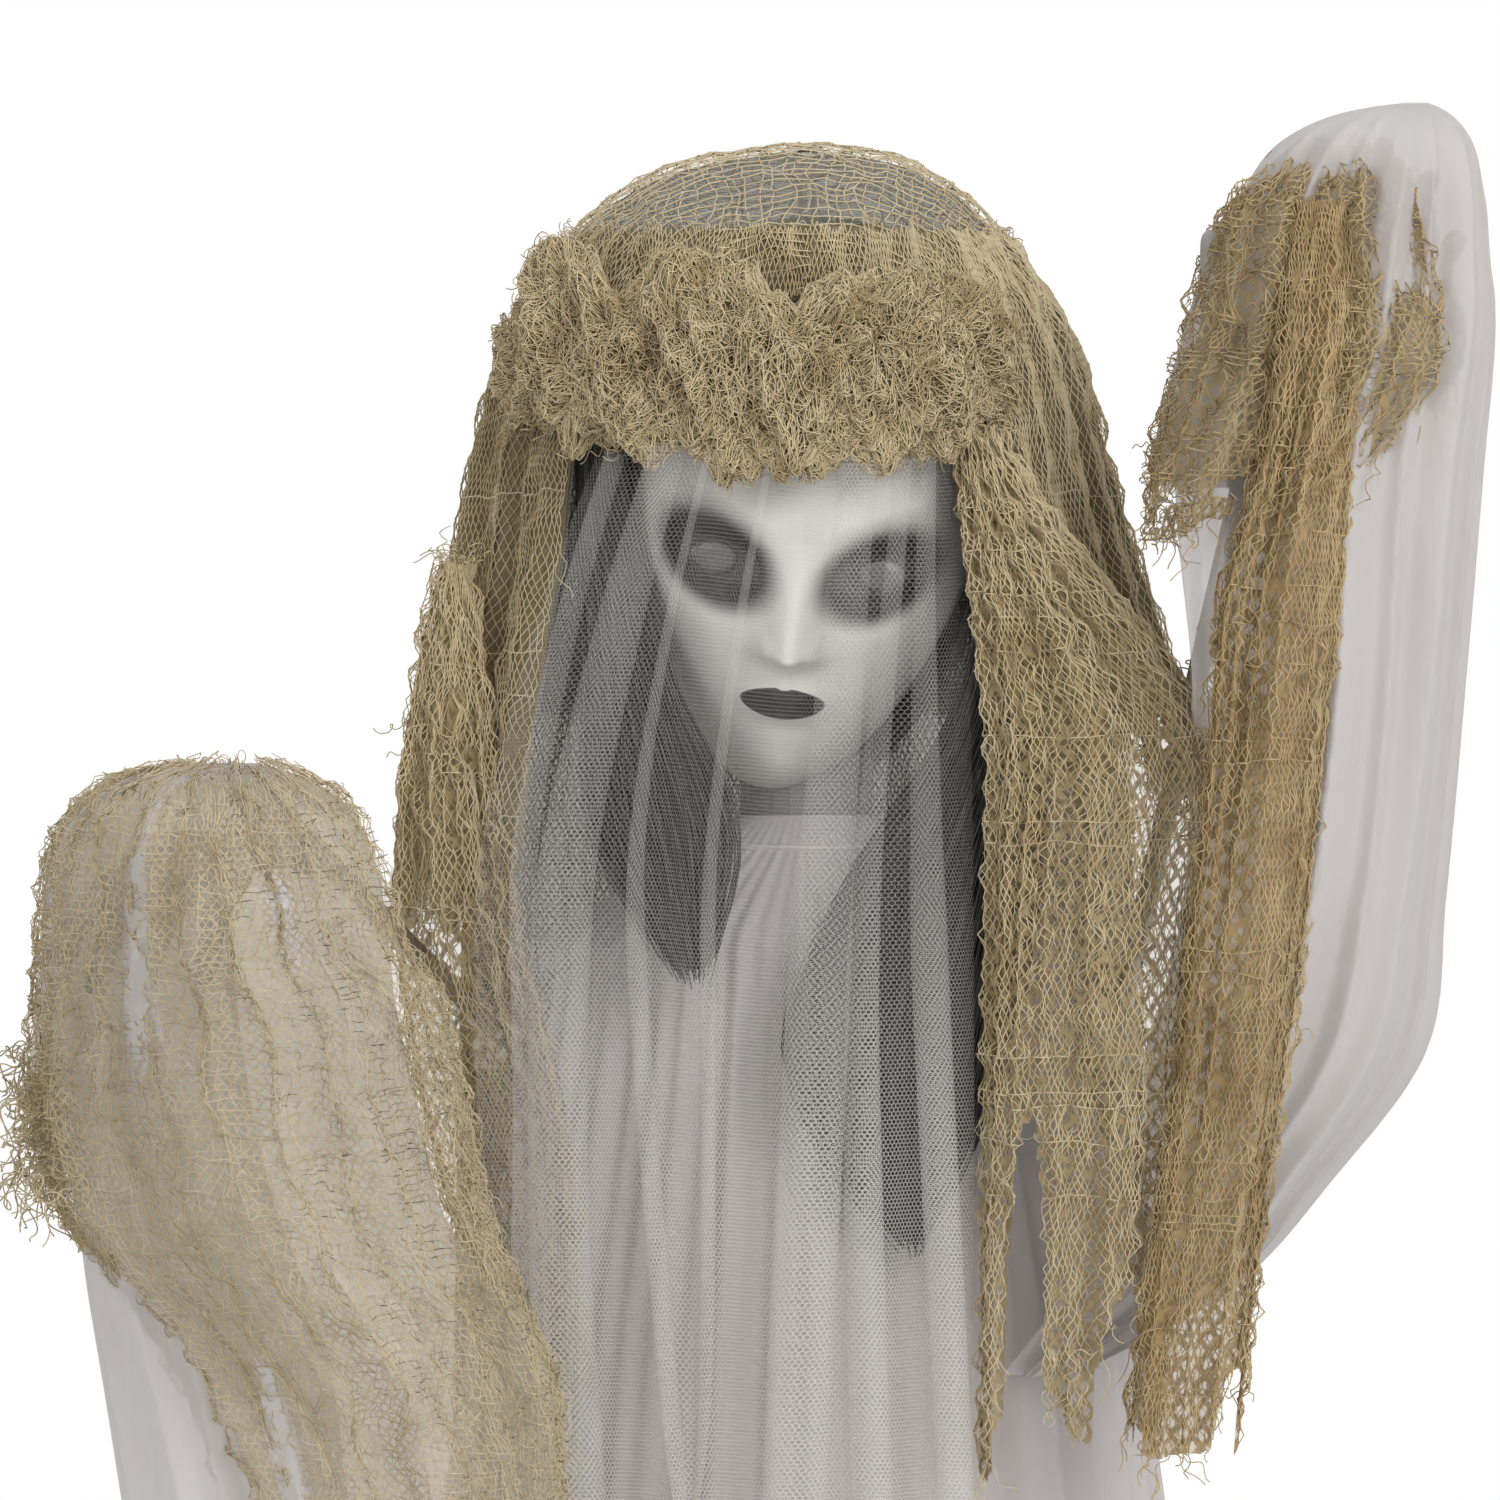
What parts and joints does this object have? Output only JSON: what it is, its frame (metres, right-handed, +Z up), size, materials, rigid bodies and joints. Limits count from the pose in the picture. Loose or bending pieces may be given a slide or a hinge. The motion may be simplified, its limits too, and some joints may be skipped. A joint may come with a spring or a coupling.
{
  "type": "animated hanging ghost figure",
  "caption": "Hanging ghost figure: masked head with hair and veil that turns, a robe with draped cheesecloth, and two hands on wire arms that swing up and down in turn.",
  "frame": {"origin": "where a hook bears in the hanging eye above the head, on the figure's middle plane", "axes": "+Z up, -Y the way the figure faces, +X the figure's own left, which is the picture's right"},
  "size_m": [0.6305, 0.6009, 1.5033],
  "materials": {
    "steel": "zinc plated",
    "black_plastic": "fine texture",
    "gear_plastic": "natural acetal",
    "motor_can": "plated can",
    "board": "solder mask",
    "sensor_lens": "translucent white",
    "button_red": "gloss",
    "cell": "wrapped",
    "mask_white": "satin paint, airbrushed",
    "eye_grey": "gloss",
    "hand_grey": "satin",
    "hair": "fibre",
    "white_sheer": "satin weave",
    "tulle": "net",
    "cheesecloth": "loose weave",
    "tan_yarn": "frayed"
  },
  "bodies": {
    "frame_body": {"hanging_eye": "steel", "spine_rod": "steel", "rod_nut": "steel", "rod_hub": "black_plastic", "neck_tube": "hand_grey", "mech_front_shell": "black_plastic", "mech_rear_shell": "black_plastic", "gear_bracket": "black_plastic", "motor_plate": "steel", "arm_gearmotor": "motor_can", "circuit_board": "board", "speaker": "black_plastic", "motion_sensor": "sensor_lens", "try_spring": "steel", "shoulder_bush_left": "gear_plastic", "shoulder_bush_right": "gear_plastic", "shell_screw_1": "steel", "shell_screw_2": "steel", "shell_screw_3": "steel", "battery_box": "black_plastic", "battery_cell_1": "cell", "battery_cell_2": "cell", "battery_cell_3": "cell", "robe": "white_sheer"},
    "head": {"face_mask": "mask_white", "skull_shell": "mask_white", "hair_cap": "hair", "hair_lock_left": "hair", "hair_lock_right": "hair", "eye_lens_left": "eye_grey", "eye_lens_right": "eye_grey", "head_plate": "black_plastic", "head_gearbox": "gear_plastic", "head_motor": "motor_can", "wreath": "tan_yarn", "hood": "cheesecloth", "veil": "tulle", "front_fall_left": "cheesecloth", "front_fall_right": "cheesecloth"},
    "arm_left": {"shoulder_shaft_left": "steel", "arm_gear_left": "gear_plastic", "shoulder_hub_left": "gear_plastic", "arm_rod_left": "steel", "hand_left": "hand_grey", "sleeve_left": "white_sheer", "scarf_left": "cheesecloth"},
    "arm_right": {"shoulder_shaft_right": "steel", "arm_gear_right": "gear_plastic", "shoulder_hub_right": "gear_plastic", "arm_rod_right": "steel", "hand_right": "hand_grey", "sleeve_right": "white_sheer", "scarf_right": "cheesecloth"},
    "drive": {"drive_shaft": "steel", "drive_pinion_left": "gear_plastic", "drive_pinion_right": "gear_plastic"},
    "idler": {"idler_gear": "gear_plastic"},
    "door": {"battery_door": "black_plastic"},
    "switch": {"switch_slider": "black_plastic"},
    "button": {"try_button": "button_red"}
  },
  "joints": [
    {"name": "head_turn", "type": "hinge", "parent": "frame_body", "child": "head", "pos_m": [0, 0, -0.2], "axis": [0, 0, 1], "range_deg": [-30, 30], "deforming": ["hood", "veil", "front_fall_left", "front_fall_right", "hair_lock_left", "hair_lock_right"]},
    {"name": "arm_left_swing", "type": "hinge", "parent": "frame_body", "child": "arm_left", "pos_m": [0, 0, -0.4], "axis": [1, 0, 0], "range_deg": [0, 40], "deforming": ["sleeve_left", "scarf_left"]},
    {"name": "arm_right_swing", "type": "hinge", "parent": "frame_body", "child": "arm_right", "pos_m": [0, 0, -0.4], "axis": [1, 0, 0], "range_deg": [-40, 0], "deforming": ["sleeve_right", "scarf_right"]},
    {"name": "drive_turn", "type": "hinge", "parent": "frame_body", "child": "drive", "pos_m": [0, 0, -0.427], "axis": [1, 0, 0], "range_deg": [-80, 0]},
    {"name": "idler_turn", "type": "hinge", "parent": "frame_body", "child": "idler", "pos_m": [-0.018, 0.0145, -0.41913], "axis": [1, 0, 0], "range_deg": [0, 66.67]},
    {"name": "battery_door_slide", "type": "slide", "parent": "frame_body", "child": "door", "axis": [0, 0, -1], "range_m": [0, 0.046]},
    {"name": "switch_slide", "type": "slide", "parent": "frame_body", "child": "switch", "axis": [1, 0, 0], "range_m": [0, 0.005]},
    {"name": "try_button_press", "type": "slide", "parent": "frame_body", "child": "button", "axis": [0, -1, 0], "range_m": [0, 0.002], "stiffness_N_per_m": 400, "springref_m": -0.001, "deforming": ["try_spring"]}
  ],
  "couplings": [
    {"joint": "drive_turn", "follows": "arm_left_swing", "ratio": -2},
    {"joint": "idler_turn", "follows": "arm_left_swing", "ratio": 1.6667},
    {"joint": "arm_right_swing", "follows": "arm_left_swing", "ratio": -1}
  ]
}
